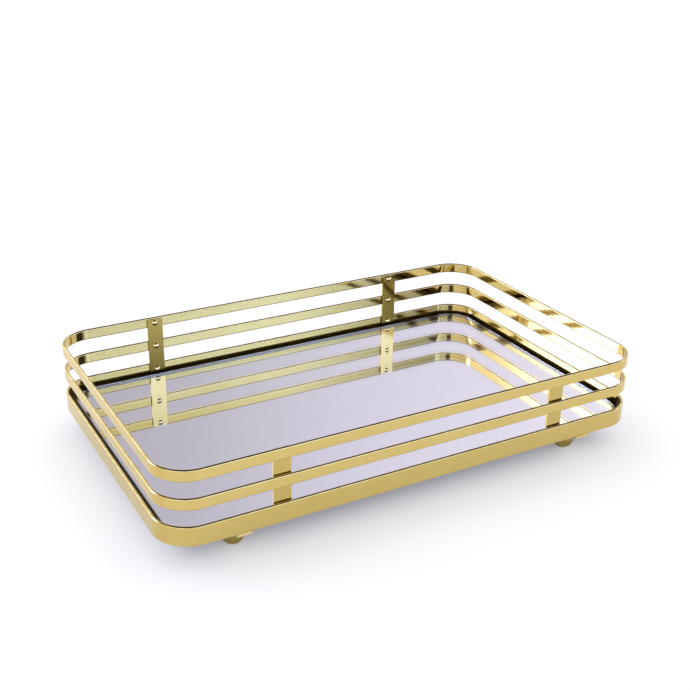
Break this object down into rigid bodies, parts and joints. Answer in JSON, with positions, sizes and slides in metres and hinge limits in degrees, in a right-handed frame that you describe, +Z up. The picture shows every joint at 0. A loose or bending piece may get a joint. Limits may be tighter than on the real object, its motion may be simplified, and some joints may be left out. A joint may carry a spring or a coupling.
{
  "type": "vanity tray",
  "caption": "Rectangular gallery vanity tray with rounded corners: stacked metal strip bands on riveted flat posts, a mirror floor and ball feet.",
  "frame": {"origin": "centre of the tray's outline, on the surface that its four ball feet stand on", "axes": "+X along the long side, +Y towards the rear long side, +Z up"},
  "size_m": [0.36, 0.228, 0.07],
  "materials": {
    "gold_strip": "polished gold plate",
    "gold_post": "polished gold plate, faintly brushed",
    "gold_rivet": "polished gold plate",
    "gold_bar": "satin gold plate",
    "gold_ball": "polished gold plate",
    "black_panel": "satin black enamel",
    "tape": "matte adhesive foam",
    "mirror": "clear silvered glass with a ground edge",
    "screw_steel": "zinc plated"
  },
  "bodies": {
    "root": {"top_band": "gold_strip", "middle_band": "gold_strip", "bottom_band": "gold_strip", "post_front_left": "gold_post", "post_front_right": "gold_post", "post_rear_left": "gold_post", "post_rear_right": "gold_post", "rivets_front_left": "gold_rivet", "rivets_front_right": "gold_rivet", "rivets_rear_left": "gold_rivet", "rivets_rear_right": "gold_rivet", "base_panel": "black_panel", "mirror_tape": "tape", "mirror_glass": "mirror", "crossbar_left": "gold_bar", "crossbar_right": "gold_bar", "foot_front_left": "gold_ball", "foot_front_right": "gold_ball", "foot_rear_left": "gold_ball", "foot_rear_right": "gold_ball", "foot_screws": "screw_steel"}
  },
  "joints": []
}
